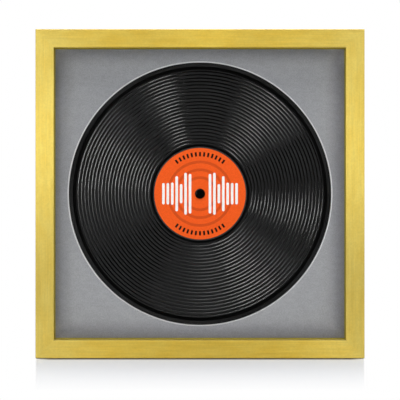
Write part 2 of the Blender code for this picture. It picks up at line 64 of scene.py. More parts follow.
# Camera, and the framing of the picture in its pixels
IMAGE_SIDE = 400
FRAME_PIXELS = 329.3
FRAME_CENTRE_Y = 193.7
CAMERA_DISTANCE = 1.6
SENSOR = 36.0
CLIP_START = 0.01
CLIP_END = 100

# Record, with its 22 coarse V grooves between a run-out groove and a lead-in groove
RING_COUNT = 22
RING_WALL = 0.00075
RING_INNER_MARGIN = 0.0020
RING_OUTER_MARGIN = 0.0013
OUTWARD_WALL_SLOPE = math.radians(22.5)
INWARD_WALL_SLOPE = math.radians(15)
LAND_SINK = 0.0001
RIM_WIDTH = 0.0043
LEAD_IN_WIDTH = 0.0039
RUN_OUT_WIDTH = 0.0030
BEAD_WIDTH = 0.0013
SMOOTH_BAND_WIDTH = 0.0005
GROOVE_DEPTH = 0.0007
GROOVE_SLOPE = 0.0003
BACK_SINK = 0.0003
EDGE_ROUND = 0.0003
THIN_GAP = 0.0001
SPINDLE_RADIUS = 0.00362
RECORD_SHARP = math.radians(5)

# Window of the mount
RECORD_CLEARANCE = 0.0003
BEVEL_WIDTH = 0.0014
BEVEL_DEPTH = 0.0006

# Print on the labels
PRINT_HEIGHT = 0.00003
BAR_COUNT = 7
BAR_FIRST = 0.0115
BAR_PITCH = 0.0051
BAR_WIDTH = 0.0030
BAR_TALLEST = 0.0560
BAR_LEAST = 0.42
BAR_SWING = 1.25
BAR_SWING_START = 0.75
BAR_FALL = 0.09
TONE_RINGS = ((0.0170, 0.0200), (0.0260, 0.0290), (0.0350, 0.0380))
TICK_INNER = 0.0430
TICK_OUTER = 0.0480
TICK_WIDTH = 0.0022
TICK_STEP = 6
TICK_ARCS = ((54, 126), (234, 306))

# Mitres
OPENING_HALF = 0.1665
REBATE_HALF = 0.175
LIP_THICKNESS = 0.006
NAIL_ZONE = 0.0085
FILLER_SINK = 0.0001
FILLER_END = 0.0008
FILLER_HALF = 0.00005

# Small hardware
STUD_BARREL_RADIUS = 0.0033
STUD_BORE_RADIUS = 0.0019
STUD_FLOOR = 0.0012
STUD_HEAD_HEIGHT = 0.0013
STUD_SCREW_HEAD_HEIGHT = 0.0014
STUD_SCREW_SHANK_RADIUS = 0.0016
WOOD_SCREW_HEAD_HEIGHT = 0.0016
WOOD_SCREW_SHANK_RADIUS = 0.0012
SCREW_TIP = 0.0025
STUD_SCREW_TIP = 0.0005
SCREW_POINT_SHARE = 0.25
SCREW_CLEARANCE = 0.0003
CROSS_WIDTH = 0.0008
CROSS_DEPTH = 0.0008
CROSS_SHARE = 0.62
BUTTON_EYE_RADIUS = 0.0048
BUTTON_TIP_RADIUS = 0.0036
BUTTON_SHEET = 0.0008
BUTTON_BOSS_RADIUS = 0.0034
BUTTON_RIB_WIDTH = 0.0022
BUTTON_TURNS = {"bottom": 0, "left": 90, "top": 180, "right": 270}
STRAP_SHEET = 0.0008
STRAP_SCREW_DROP = 0.0175
STRAP_TIP_STEP = 0.15
EYE_CLEARANCE = 0.0003
EYE_WRAP_DEGREES = 285
RING_WIRE_RADIUS = 0.0009
RING_STRAIGHT = 0.004
RING_CORNER_RADIUS = 0.0015

# Edges, and how finely round shapes are divided
EDGE_BEVEL = 0.00015
EDGE_STEPS = 2
EDGE_ANGLE = math.radians(40)
SHARP = math.radians(35)
RECORD_TURNS = 720
LABEL_TURNS = 360
HEAD_TURNS = 48
CROWN_STEPS = 10
ARC_STEPS = 8
WIRE_STEPS = 5

# Places that the CAD gives
LOW, HIGH = CAD_BOX
SIDE = HIGH.x - LOW.x
CENTRE_Z = (LOW.z + HIGH.z) / 2
CENTRE = Vector((0, 0, CENTRE_Z))
FRONT = LOW.y
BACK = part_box("rail_top")[1].y
DISC_LOW, DISC_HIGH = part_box("record_disc")
LABEL_LOW, LABEL_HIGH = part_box("label_front")
RECORD_RADIUS = (DISC_HIGH.x - DISC_LOW.x) / 2
LABEL_RADIUS = (LABEL_HIGH.x - LABEL_LOW.x) / 2
LABEL_THICKNESS = LABEL_HIGH.y - LABEL_LOW.y

# Levels between which most of a noise lies, and how much finer and how detailed its two uses are
WIDE_NOISE = (0.25, 0.75)
NOISE = (0.3, 0.7)
NARROW_NOISE = (0.35, 0.65)
FINE_RATIO = 5
BROAD_DETAIL = 6.0
FINE_DETAIL = 3.0

# Foil and wood of the rails: painted sheen along a rail from its left or lower end, a brightness ramp
# in the colour
UPRIGHT_PAINTED_SHEEN = ((0.03, 0.76), (0.22, 0.70), (0.64, 0.975), (0.97, 0.79))
TOP_PAINTED_SHEEN = ((0.03, 0.745), (0.32, 0.685), (0.56, 0.785), (0.64, 0.715), (0.97, 0.765))
BOTTOM_PAINTED_SHEEN = ((0.03, 0.79), (0.50, 0.685), (0.66, 0.70), (0.95, 0.86))
CORNER_BLEND = 0.012
# Where the horizontals turn to the paler gold of the painted sheen, as a share towards their corners
PAINTED_SHEEN_FROM = 0.55
# Painted shade on the lower rail's inner wall and rounded inner edge: its width and darkest level
WALL_BLEND = 0.0012
WALL_PAINTED_SHADE = 0.2
# Painted shade on the outer top and left faces, which the overhead lamp lights most: its width and
# levels
OUTSIDE_BLEND = 0.0012
TOP_PAINTED_SHADE = 0.48
LEFT_PAINTED_SHADE = 0.7
# Noises: cells to the metre, detail, and stretch along and across the rail and in depth
STREAKS = (760, 4.0, (0.035, 1, 1))
CLOUDS = (45, 3.0, (1, 2, 2))
GRIT = (520, 2.0)
WOOD_GRAIN = (700, 5.0, (0.05, 1, 1))
STREAK_SWING = 0.07
CLOUD_SWING = 0.03
GRIT_SWING = 0.05
# Gold of the horizontals, and the paler gold painted on the uprights as the colour of their brighter
# sheen
FOIL_DEEP = ((255, 215, 76), (255, 220, 88))
FOIL_PAINTED_SHEEN = ((255, 222, 98), (255, 227, 110))
FOIL_ROUGHNESS = (0.42, 0.54)
FOIL_METALLIC = 0.3
WOOD_LIGHT = (214, 187, 143)
WOOD_DARK = (188, 154, 108)
WOOD_ROUGHNESS = 0.8
RAIL_RELIEF = 0.00008

# Paper of the mount, and its painted shade beside the near walls, right and lower, and the far ones
FELT = (560, 4.0)
BLOTCHES = (130, 3.0, (1, 1, 1.6))
BLOTCH_SHARE = 0.35
PAPER_NOISE = (0.38, 0.62)
PAPER_LIGHT = (157, 158, 160)
PAPER_DARK = (146, 147, 149)
PAPER_NEAR_BORDER = 0.0245
PAPER_FAR_BORDER = 0.021
PAPER_NEAR_PAINTED_SHADE = (0.62, 0.622, 0.68, 1)
PAPER_FAR_PAINTED_SHADE = (0.82, 0.828, 0.862, 1)
# Painted light in three corners of the opening: its band beside the walls, its reach and strength
CORNER_BAND = 0.008
CORNER_REACH = 0.03
CORNER_PAINTED_LIGHT = 0.55
# Painted gold reflection of the walls on the paper beside them: its reach, how much shorter by the far
# walls, and its tint
GOLD_BOUNCE_REACH = 0.0013
GOLD_BOUNCE_FAR_SHARE = 2.5
PAINTED_GOLD_BOUNCE_TINT = (1.2, 1.08, 0.3, 1)
PAPER_ROUGHNESS = (0.85, 0.95)
PAPER_SPECULAR = 0.1
PAPER_RELIEF = 0.00006
WHITE = (1, 1, 1, 1)

# Vinyl between the coarse grooves: its painted shade round the record, from the right through the top
LAND_PAINTED_SHADE = (
    (0.00, 0.70),
    (0.06, 1.00),
    (0.14, 0.72),
    (0.20, 1.00),
    (0.26, 1.00),
    (0.30, 0.68),
    (0.35, 1.00),
    (0.44, 0.52),
    (0.54, 0.95),
    (0.64, 1.00),
    (0.74, 0.95),
    (0.82, 0.55),
    (0.91, 1.00),
    (0.97, 0.55),
)
MICRO_GROOVE = 0.00025
MICRO_RELIEF = 0.00001
MICRO_STRENGTH = 0.5
LAND_DARK = (30, 30, 30)
LAND_LIGHT = (37, 37, 37)
LAND_ROUGHNESS = 0.55
LAND_SPECULAR = 0.12

# Clear sheet: how much it mirrors straight on and at the edge of sight
CLEAR = (0.995, 0.995, 0.995, 1)
CLEAR_ROUGHNESS = 0.03
CLEAR_MIRROR = 0.003
CLEAR_EDGE_MIRROR = 0.6
CLEAR_EDGE_POWER = 4.0

# Mottled finishes: light and dark colour, cells to the metre, roughness, relief, metallic, specular
FINISHES = {
    # the fillets' foil is painted a darker gold, as the shade in the recess behind the lip
    "painted_shade_foil": ((190, 166, 16), (170, 148, 12), 300, (0.85, 0.95), 0.00001, 0.0, 0.0),
    "mount_core": ((224, 224, 224), (214, 214, 214), 800, (0.85, 0.95), 0.00002, 0.0, 0.2),
    "card": ((152, 149, 142), (138, 134, 127), 300, (0.85, 0.95), 0.00003, 0.0, 0.2),
    "fibreboard": ((160, 125, 87), (136, 103, 69), 170, (0.7, 0.9), 0.0001, 0.0, 0.25),
    "vinyl_polished": ((3, 3, 3), (1, 1, 1), 60, (0.155, 0.165), 0.0, 0.0, 0.65),
    "vinyl_groove": ((5, 5, 5), (2, 2, 2), 400, (0.5, 0.6), 0.000001, 0.0, 0.05),
    "vinyl_bead": ((62, 65, 64), (50, 53, 52), 400, (0.5, 0.6), 0.00001, 0.0, 0.1),
    "label_paper": ((243, 95, 34), (233, 89, 29), 400, (0.6, 0.7), 0.00001, 0.0, 0.05),
    "white_ink": ((250, 248, 243), (243, 240, 234), 500, (0.5, 0.6), 0.00001, 0.0, 0.2),
    "black_ink": ((30, 24, 21), (20, 16, 14), 500, (0.5, 0.6), 0.00001, 0.0, 0.05),
    "tone_ink": ((212, 80, 30), (203, 76, 27), 400, (0.6, 0.7), 0.00001, 0.0, 0.05),
    "black_stud": ((3, 3, 3), (1, 1, 1), 300, (0.14, 0.2), 0.0000005, 0.0, 0.3),
    "zinc": ((206, 208, 210), (176, 179, 184), 260, (0.28, 0.42), 0.00001, 1.0, 0.5),
    "screw_steel": ((196, 196, 198), (160, 160, 164), 700, (0.25, 0.38), 0.00001, 1.0, 0.5),
    "nail_steel": ((150, 150, 152), (112, 112, 116), 900, (0.35, 0.5), 0.00002, 1.0, 0.5),
    "brass_plate": ((226, 196, 132), (204, 170, 104), 300, (0.22, 0.36), 0.00001, 1.0, 0.5),
    "bumper_rubber": ((52, 52, 54), (38, 38, 40), 1200, (0.65, 0.8), 0.00003, 0.0, 0.5),
}

# Lamps: azimuth from the right and angle off the front axis in degrees, half their spans, radiance
LAMPS = {
    "high_right": (49.5, 49.5, 7.5, 3.2, 4.0),
    "high_right_wide": (50, 49.5, 17, 3.2, 2.8),
    "high_top": (109.5, 49.5, 5.5, 3.2, 6.3),
    "high_top_wide": (113.5, 49.5, 9.5, 3.2, 1.4),
    "high_left": (163, 49.5, 14, 3.2, 5.4),
    "high_left_wide": (165, 49.5, 33, 3.2, 3.1),
    "low_top": (119, 25, 10, 3.2, 6.2),
    "low_top_wide": (115, 25, 27, 3.2, 3.0),
    "low_left": (169.5, 25, 6, 3.2, 9.4),
    "low_right": (76, 25, 12, 3.2, 0.8),
    "overhead": (90, 72, 12, 6, 32.0),
    "behind": (90, 109, 2.5, 14, 26.0),
}
LAMP_DISTANCE = 5.0

# Room: even light, and what glossy rays meet in front of the object
AMBIENT = 0.37
FRONT_DARK = 0.03
FRONT_BLEND = 0.2

# Floor, and the strip of shadow on it, which is as wide as the frame and narrows towards the front
FLOOR_HALF = 4
FLOOR_GAP = 0.0005
FLOOR_COLOUR = (0.565, 0.58, 0.605, 1)
FLOOR_ROUGHNESS = 0.6
FLOOR_SPECULAR = 0.1
SHADOW_EDGE = 0.0015
SHADOW_NARROWING = 0.1171875
# The shadow's painted fade ahead of the frame: where it starts and ends, and its curve
SHADOW_START = 0.02
SHADOW_END = 0.26
SHADOW_FADE = 1.5
SHADOW_ROUND = (0.45, 0.9)
# Painted contact shadow round the frame's foot: its reach and its darkest level
CONTACT_REACH = 0.018
CONTACT_PAINTED_SHADOW = 0.25
# What glossy rays see of it: dark as far back as this, and two glows that grow towards the left
DARK_DEPTH = 0.1
NEAR_GLOW = (-0.25, -0.40, 0.0, 0.5)
FAR_GLOW = (-0.3, -1.8, 0.0, 1.9)
GLOW_SLANT = (1.2, 1.5, 1.0, 0.0)


def linear(colour):
    """A screen colour, 0 to 255 a channel, as a linear colour with alpha 1."""
    channels = [c / 255 for c in colour]
    return (*[c / 12.92 if c <= 0.04045 else ((c + 0.055) / 1.055) ** 2.4 for c in channels], 1.0)


def add_node(tree, kind, inputs=None, **settings):
    """A shader node; an input is linked where its value is a socket, and set otherwise."""
    node = tree.nodes.new("ShaderNode" + kind)
    for key, value in settings.items():
        setattr(node, key, value)
    for key, value in (inputs or {}).items():
        if isinstance(value, bpy.types.NodeSocket):
            tree.links.new(value, node.inputs[key])
        else:
            node.inputs[key].default_value = value
    return node


def math_node(tree, operation, a, b=0.0, c=0.0):
    """The result of a Math node."""
    return add_node(tree, "Math", {0: a, 1: b, 2: c}, operation=operation).outputs[0]


def vector_node(tree, operation, a, b=(0, 0, 0)):
    """The result of a Vector Math node that gives a vector."""
    return add_node(tree, "VectorMath", {0: a, 1: b}, operation=operation).outputs[0]


def length_of(tree, vector):
    """A vector's length."""
    return add_node(tree, "VectorMath", {0: vector}, operation="LENGTH").outputs["Value"]


def scaled(tree, colour, level):
    """The colour times a number."""
    return add_node(tree, "VectorMath", {0: colour, "Scale": level}, operation="SCALE").outputs[0]


def mix_values(tree, factor, a, b):
    """The number a where the factor is 0, and b where it is 1."""
    return add_node(tree, "Mix", {0: factor, 2: a, 3: b}, data_type="FLOAT").outputs[0]


def mix_colours(tree, factor, a, b, blend="MIX"):
    """The colour a where the factor is 0, and a blended with b where it is 1."""
    node = add_node(tree, "Mix", {0: factor, 6: a, 7: b}, data_type="RGBA", blend_type=blend)
    return node.outputs[2]


def map_range(tree, value, low, high, to_low=0.0, to_high=1.0, interpolation="LINEAR"):
    """The value's place between low and high, as a place between to_low and to_high."""
    inputs = {"Value": value, "From Min": low, "From Max": high, "To Min": to_low, "To Max": to_high}
    return add_node(tree, "MapRange", inputs, interpolation_type=interpolation).outputs[0]


def soft_range(tree, value, low, high, to_low=0.0, to_high=1.0):
    """As map_range, with soft ends."""
    return map_range(tree, value, low, high, to_low, to_high, "SMOOTHSTEP")


def two_tone(tree, value, levels, dark, light):
    """Screen colours, dark at the value's first level and light at its second."""
    return mix_colours(tree, map_range(tree, value, *levels), linear(dark), linear(light))


def mix_shaders(tree, factor, a, b):
    """The shader a where the factor is 0, and b where it is 1."""
    return add_node(tree, "MixShader", {0: factor, 1: a, 2: b}).outputs[0]


def glowing(tree, strength):
    """A shader that shines white."""
    return add_node(tree, "Emission", {"Strength": strength}).outputs[0]


def place_of(tree):
    """The point on the object, and its X, Y and height from the frame's centre."""
    place = add_node(tree, "TexCoord").outputs["Object"]
    parts = add_node(tree, "SeparateXYZ", {0: place})
    height = math_node(tree, "SUBTRACT", parts.outputs["Z"], CENTRE_Z)
    return place, parts.outputs["X"], parts.outputs["Y"], height


def noise(tree, place, scale, detail, stretch=(1, 1, 1)):
    """Noise around 0.5, with scale cells to the metre."""
    inputs = {"Vector": vector_node(tree, "MULTIPLY", place, stretch), "Scale": scale, "Detail": detail}
    return add_node(tree, "TexNoise", inputs).outputs[0]


def tone_ramp(tree, value, stops):
    """A smooth curve through (place, level) stops, each level from 0 to 1."""
    ramp = add_node(tree, "ValToRGB", {0: value})
    ramp.color_ramp.interpolation = "EASE"
    elements = ramp.color_ramp.elements
    while len(elements) < len(stops):
        elements.new(0.5)
    for element, (place, level) in zip(elements, stops):
        element.position = place
        element.color = (level, level, level, 1)
    return ramp.outputs[0]


def ray_kinds(tree):
    """Two shares: 1 for a glossy ray, and 1 for a ray from the eye, also one through glass."""
    rays = add_node(tree, "LightPath").outputs
    seen = math_node(tree, "MAXIMUM", rays["Is Camera Ray"], rays["Is Transmission Ray"])
    return rays["Is Glossy Ray"], seen


def set_relief(tree, shader, height, distance, strength=1.0):
    """Gives the surface a relief of that distance."""
    relief = add_node(tree, "Bump", {"Height": height, "Distance": distance, "Strength": strength})
    tree.links.new(relief.outputs[0], shader.inputs["Normal"])


def new_material(name):
    """A new material, its node tree and its shader."""
    material = bpy.data.materials.new(name)
    material.use_nodes = True
    tree = material.node_tree
    return material, tree, tree.nodes["Principled BSDF"]


def mottled(name, light, dark, scale, roughness, relief, metallic, specular):
    """A surface that drifts between two colours and two roughnesses, with a fine relief of its own."""
    material, tree, shader = new_material(name)
    place = add_node(tree, "TexCoord").outputs["Object"]
    broad = noise(tree, place, scale, BROAD_DETAIL)
    tree.links.new(two_tone(tree, broad, NOISE, dark, light), shader.inputs["Base Color"])
    fine = noise(tree, place, FINE_RATIO * scale, FINE_DETAIL)
    tree.links.new(map_range(tree, fine, *NOISE, *roughness), shader.inputs["Roughness"])
    shader.inputs["Metallic"].default_value = metallic
    shader.inputs["Specular IOR Level"].default_value = specular
    set_relief(tree, shader, fine, relief)
    return material


def painted_foil_sheen_and_shade(tree, x, z, upright, lean):
    """The foil's painted sheen along its rail, with painted shade on the lower rail's inner wall and on
    the outer top and left faces.
    """
    share_x = math_node(tree, "MULTIPLY_ADD", x, 1 / SIDE, 0.5)
    share_z = math_node(tree, "MULTIPLY_ADD", z, 1 / SIDE, 0.5)
    # painted sheen: brightness ramps along each rail, blended at the mitres
    bottom_painted_sheen = tone_ramp(tree, share_x, BOTTOM_PAINTED_SHEEN)
    top = math_node(tree, "GREATER_THAN", z, 0.0)
    level = mix_values(tree, top, bottom_painted_sheen, tone_ramp(tree, share_x, TOP_PAINTED_SHEEN))
    level = mix_values(tree, lean, level, tone_ramp(tree, share_z, UPRIGHT_PAINTED_SHEEN))
    # painted shade on the lower rail's inner wall and rounded inner edge, which also dims their
    # highlight
    below = math_node(tree, "MULTIPLY", z, -1.0)
    wall = map_range(tree, below, OPENING_HALF, OPENING_HALF + WALL_BLEND, WALL_PAINTED_SHADE, 1.0)
    wall = mix_values(tree, math_node(tree, "MAXIMUM", top, upright), wall, 1.0)
    level = math_node(tree, "MULTIPLY", level, wall)
    # painted shade on the outer top and left faces
    leftwards = math_node(tree, "MULTIPLY", x, -1.0)
    for outwards, tone in ((z, TOP_PAINTED_SHADE), (leftwards, LEFT_PAINTED_SHADE)):
        outside = map_range(tree, outwards, SIDE / 2 - OUTSIDE_BLEND, SIDE / 2, 1.0, tone)
        level = math_node(tree, "MULTIPLY", level, outside)
    return level


def make_rail_material():
    """Brushed gold foil with a painted sheen that drifts along each rail, and bare wood at the back."""
    material, tree, shader = new_material("gold_foil")
    _, x, y, z = place_of(tree)
    from_middle = math_node(tree, "ABSOLUTE", x), math_node(tree, "ABSOLUTE", z)
    upright = math_node(tree, "GREATER_THAN", *from_middle)
    along = mix_values(tree, upright, x, z)
    across = mix_values(tree, upright, z, x)
    lean = soft_range(tree, math_node(tree, "SUBTRACT", *from_middle), -CORNER_BLEND, CORNER_BLEND)
    shifted = math_node(tree, "MULTIPLY_ADD", upright, SIDE, along)
    place = add_node(tree, "CombineXYZ", {0: shifted, 1: across, 2: y}).outputs[0]
    streaks = noise(tree, place, *STREAKS)
    clouds = noise(tree, place, *CLOUDS)
    grit = noise(tree, place, *GRIT)
    level = painted_foil_sheen_and_shade(tree, x, z, upright, lean)
    for value, swing in ((streaks, STREAK_SWING), (clouds, CLOUD_SWING), (grit, GRIT_SWING)):
        around_one = map_range(tree, value, *WIDE_NOISE, 1 - swing, 1 + swing)
        level = math_node(tree, "MULTIPLY", level, around_one)
    # the uprights and the horizontals' corner ends take the paler gold of a brighter painted sheen
    corner = math_node(tree, "ABSOLUTE", math_node(tree, "DIVIDE", along, across))
    painted_sheen_share = math_node(tree, "MAXIMUM", lean, map_range(tree, corner, PAINTED_SHEEN_FROM, 1.0))
    deep_gold = two_tone(tree, clouds, NARROW_NOISE, *FOIL_DEEP)
    painted_sheen_gold = two_tone(tree, clouds, NARROW_NOISE, *FOIL_PAINTED_SHEEN)
    foil = scaled(tree, mix_colours(tree, painted_sheen_share, deep_gold, painted_sheen_gold), level)

    grain = noise(tree, place, *WOOD_GRAIN)
    wood = two_tone(tree, grain, NARROW_NOISE, WOOD_DARK, WOOD_LIGHT)
    bare = math_node(tree, "GREATER_THAN", y, BACK - EDGE_BEVEL)
    tree.links.new(mix_colours(tree, bare, foil, wood), shader.inputs["Base Color"])
    gloss = map_range(tree, streaks, *NOISE, *FOIL_ROUGHNESS)
    tree.links.new(mix_values(tree, bare, gloss, WOOD_ROUGHNESS), shader.inputs["Roughness"])
    tree.links.new(mix_values(tree, bare, FOIL_METALLIC, 0.0), shader.inputs["Metallic"])
    set_relief(tree, shader, mix_values(tree, bare, streaks, grain), RAIL_RELIEF)
    return material


def painted_wall_shade(tree, inside, border, tint):
    """The painted shade beside a wall, which is gone at the border's width from it."""
    return mix_colours(tree, soft_range(tree, inside, 0.0, border), tint, WHITE)


def painted_corner_light(tree, across, upright, far_inside):
    """Painted light close to the walls in three corners of the opening, where two walls throw it."""
    nearest = math_node(tree, "MINIMUM", across, upright)
    farther = math_node(tree, "MAXIMUM", across, upright)
    beside = map_range(tree, nearest, 0.0, CORNER_BAND, CORNER_PAINTED_LIGHT, 0.0)
    cornered = soft_range(tree, farther, 0.0, CORNER_REACH, 1.0, 0.0)
    bright_side = map_range(tree, far_inside, CORNER_REACH, OPENING_HALF, 1.0, 0.0)
    more = math_node(tree, "MULTIPLY", beside, cornered)
    return math_node(tree, "MULTIPLY_ADD", more, bright_side, 1.0)


def make_paper_material():
    """Felted grey paper, mottled at two scales, with painted shade towards the walls, painted light in
    three corners and a painted gold reflection beside the walls.
    """
    material, tree, shader = new_material("grey_mount")
    place, x, _, z = place_of(tree)
    felt = noise(tree, place, *FELT)
    blotches = noise(tree, place, *BLOTCHES)
    felt_part = math_node(tree, "MULTIPLY", felt, 1 - BLOTCH_SHARE)
    both = math_node(tree, "MULTIPLY_ADD", blotches, BLOTCH_SHARE, felt_part)
    tone = two_tone(tree, both, PAPER_NOISE, PAPER_DARK, PAPER_LIGHT)
    from_right = math_node(tree, "SUBTRACT", OPENING_HALF, x)
    from_left = math_node(tree, "ADD", OPENING_HALF, x)
    from_top = math_node(tree, "SUBTRACT", OPENING_HALF, z)
    from_bottom = math_node(tree, "ADD", OPENING_HALF, z)
    # painted shade beside the walls: deeper by the right and lower ones, lighter by the left and upper
    # ones
    near_inside = math_node(tree, "MINIMUM", from_right, from_bottom)
    far_inside = math_node(tree, "MINIMUM", from_left, from_top)
    near = painted_wall_shade(tree, near_inside, PAPER_NEAR_BORDER, PAPER_NEAR_PAINTED_SHADE)
    far = painted_wall_shade(tree, far_inside, PAPER_FAR_BORDER, PAPER_FAR_PAINTED_SHADE)
    tone = mix_colours(tree, 1.0, tone, mix_colours(tree, 1.0, near, far, "DARKEN"), "MULTIPLY")
    # painted light close to the walls in three corners
    across = math_node(tree, "MINIMUM", from_left, from_right)
    upright = math_node(tree, "MINIMUM", from_top, from_bottom)
    tone = scaled(tree, tone, painted_corner_light(tree, across, upright, far_inside))
    # painted gold reflection of the walls, on the paper just beside them
    far_inside = math_node(tree, "MULTIPLY", far_inside, GOLD_BOUNCE_FAR_SHARE)
    gold_bounce_inside = math_node(tree, "MINIMUM", near_inside, far_inside)
    painted_gold_bounce = mix_colours(tree, map_range(tree, gold_bounce_inside, 0.0, GOLD_BOUNCE_REACH), PAINTED_GOLD_BOUNCE_TINT, WHITE)
    tree.links.new(mix_colours(tree, 1.0, tone, painted_gold_bounce, "MULTIPLY"), shader.inputs["Base Color"])
    tree.links.new(map_range(tree, felt, *NOISE, *PAPER_ROUGHNESS), shader.inputs["Roughness"])
    shader.inputs["Specular IOR Level"].default_value = PAPER_SPECULAR
    set_relief(tree, shader, both, PAPER_RELIEF)
    return material


def make_groove_material():
    """Dull vinyl between the coarse grooves, cut with fine ones, with painted shade in sectors round
    the record.
    """
    material, tree, shader = new_material("vinyl_grooved")
    _, x, _, z = place_of(tree)
    radius = length_of(tree, add_node(tree, "CombineXYZ", {0: x, 1: z}).outputs[0])
    wave = math_node(tree, "SINE", math_node(tree, "MULTIPLY", radius, 2 * math.pi / MICRO_GROOVE))
    colour = two_tone(tree, wave, (-1, 1), LAND_DARK, LAND_LIGHT)
    # painted shade: the land is darker in sectors round the record, by its angle
    turn = math_node(tree, "DIVIDE", math_node(tree, "ARCTAN2", z, x), 2 * math.pi)
    level = tone_ramp(tree, math_node(tree, "FRACT", turn), LAND_PAINTED_SHADE)
    tree.links.new(scaled(tree, colour, level), shader.inputs["Base Color"])
    shader.inputs["Roughness"].default_value = LAND_ROUGHNESS
    shader.inputs["Specular IOR Level"].default_value = LAND_SPECULAR
    set_relief(tree, shader, wave, MICRO_RELIEF, MICRO_STRENGTH)
    return material


def make_glazing_material():
    """A clear sheet with a faint gloss that grows towards grazing angles."""
    material, tree, shader = new_material("clear_sheet")
    tree.nodes.remove(shader)
    clear = add_node(tree, "BsdfTransparent", {"Color": CLEAR})
    gloss = add_node(tree, "BsdfGlossy", {"Roughness": CLEAR_ROUGHNESS})
    facing = add_node(tree, "LayerWeight", {"Blend": 0.5}).outputs["Facing"]
    edge = math_node(tree, "POWER", facing, CLEAR_EDGE_POWER)
    mirrored = math_node(tree, "MULTIPLY_ADD", edge, CLEAR_EDGE_MIRROR, CLEAR_MIRROR)
    both = mix_shaders(tree, mirrored, clear.outputs[0], gloss.outputs[0])
    tree.links.new(both, tree.nodes["Material Output"].inputs["Surface"])
    return material


def make_materials():
    """Every material of the object, by name."""
    return {
        "gold_foil": make_rail_material(),
        "grey_mount": make_paper_material(),
        "vinyl_grooved": make_groove_material(),
        "clear_sheet": make_glazing_material(),
        **{name: mottled(name, *finish) for name, finish in FINISHES.items()},
    }


def new_object(name, data, *materials):
    """An object in the scene with that mesh, curve, lamp or camera."""
    obj = bpy.data.objects.new(name, data)
    bpy.context.scene.collection.objects.link(obj)
    for material in materials:
        data.materials.append(material)
    return obj


def finished(shape, name, sharp=SHARP):
    """The bmesh as a mesh with its normals outwards, smooth but for its sharp edges."""
    bmesh.ops.recalc_face_normals(shape, faces=shape.faces)
    mesh = bpy.data.meshes.new(name)
    shape.to_mesh(mesh)
    shape.free()
    mesh.shade_smooth()
    mesh.set_sharp_from_angle(angle=sharp)
    return mesh


def turned_shape(profile_at, turns, centre):
    """A closed profile of (radius, depth, material index) turned about the Y axis through centre.

    profile_at gives the profile for the cosine and the sine of an angle. Depth runs along +Y.
    """
    shape = bmesh.new()
    add_turned(shape, profile_at, turns, centre)
    return shape


def turned_profile(profile, turns, centre):
    """As turned_shape, with the same profile at every angle."""
    return turned_shape(lambda across, up: profile, turns, centre)


def add_turned(shape, profile_at, turns, centre):
    """Adds what turned_shape describes to the bmesh."""
    columns = []
    poles = {}
    for step in range(turns):
        angle = 2 * math.pi * step / turns
        across, up = math.cos(angle), math.sin(angle)
        column = []
        for number, (radius, depth, _) in enumerate(profile_at(across, up)):
            if radius == 0 and number in poles:
                column.append(poles[number])
                continue
            vert = shape.verts.new(centre + Vector((radius * across, depth, radius * up)))
            if radius == 0:
                poles[number] = vert
            column.append(vert)
        columns.append(column)
    profile = profile_at(1, 0)
    for step in range(turns):
        here, there = columns[step], columns[(step + 1) % turns]
        for i, (_, _, index) in enumerate(profile):
            j = (i + 1) % len(profile)
            corners = list(dict.fromkeys((here[i], here[j], there[j], there[i])))
            if len(corners) > 2:
                shape.faces.new(corners).material_index = index


def crown(radius, height):
    """A round head's profile from the middle of its flattened top out to its rim, towards +Y."""
    points = [(0, height, 0)]
    for step in range(1, CROWN_STEPS + 1):
        angle = math.radians(90 - 90 * step / CROWN_STEPS)
        points.append((radius * math.sqrt(math.cos(angle)), height * math.sqrt(math.sin(angle)), 0))
    return points


def arc(centre, radius, start, end, steps):
    """Points of an arc in (x, z), from start to end degrees."""
    angles = [math.radians(start + (end - start) * i / steps) for i in range(steps + 1)]
    return [(centre[0] + radius * math.cos(a), centre[1] + radius * math.sin(a)) for a in angles]


def prism(shape, outline, low, high):
    """Adds a closed flat outline of (x, z) points to the bmesh, from depth low to depth high."""
    front = [shape.verts.new((x, low, z)) for x, z in outline]
    back = [shape.verts.new((x, high, z)) for x, z in outline]
    shape.faces.new(front)
    shape.faces.new(back)
    for i in range(len(outline)):
        j = (i + 1) % len(outline)
        shape.faces.new((front[i], front[j], back[j], back[i]))


def combined(obj, tool, operation):
    """The object's mesh after a Boolean with the tool object, which is removed with it."""
    modifier = obj.modifiers.new("boolean", "BOOLEAN")
    modifier.operation = operation
    modifier.object = tool
    modifier.solver = "EXACT"
    graph = bpy.context.evaluated_depsgraph_get()
    mesh = bpy.data.meshes.new_from_object(obj.evaluated_get(graph))
    bpy.data.objects.remove(tool)
    bpy.data.objects.remove(obj)
    mesh.shade_smooth()
    mesh.set_sharp_from_angle(angle=SHARP)
    return mesh


def soften(obj, width):
    """Rounds the object's sharp edges."""
    bevel = obj.modifiers.new("soft_edges", "BEVEL")
    bevel.width = width
    bevel.segments = EDGE_STEPS
    bevel.limit_method = "ANGLE"
    bevel.angle_limit = EDGE_ANGLE
    bevel.harden_normals = True


def take_place(obj, slot, body, *nodes):
    """The piece rides on the body and stands for the nodes, which it hides. The slot is not used."""
    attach(obj, body)
    if nodes:
        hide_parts(*nodes)


def ring_profile(first, last):
    """Coarse V grooves with two polished walls each, and land that leads up to the next one."""
    start = first + RING_INNER_MARGIN
    pitch = (last - RING_OUTER_MARGIN - start) / (RING_COUNT - 1)
    low = LAND_SINK + RING_WALL * math.tan(OUTWARD_WALL_SLOPE)
    points = [(first, LAND_SINK, 0)]
    for number in range(RING_COUNT):
        middle = start + number * pitch
        points.append((middle - RING_WALL, LAND_SINK, 1))
        points.append((middle, low, 1))
        points.append((middle + RING_WALL, low - RING_WALL * math.tan(INWARD_WALL_SLOPE), 0))
    points.append((last, LAND_SINK, 0))
    return points


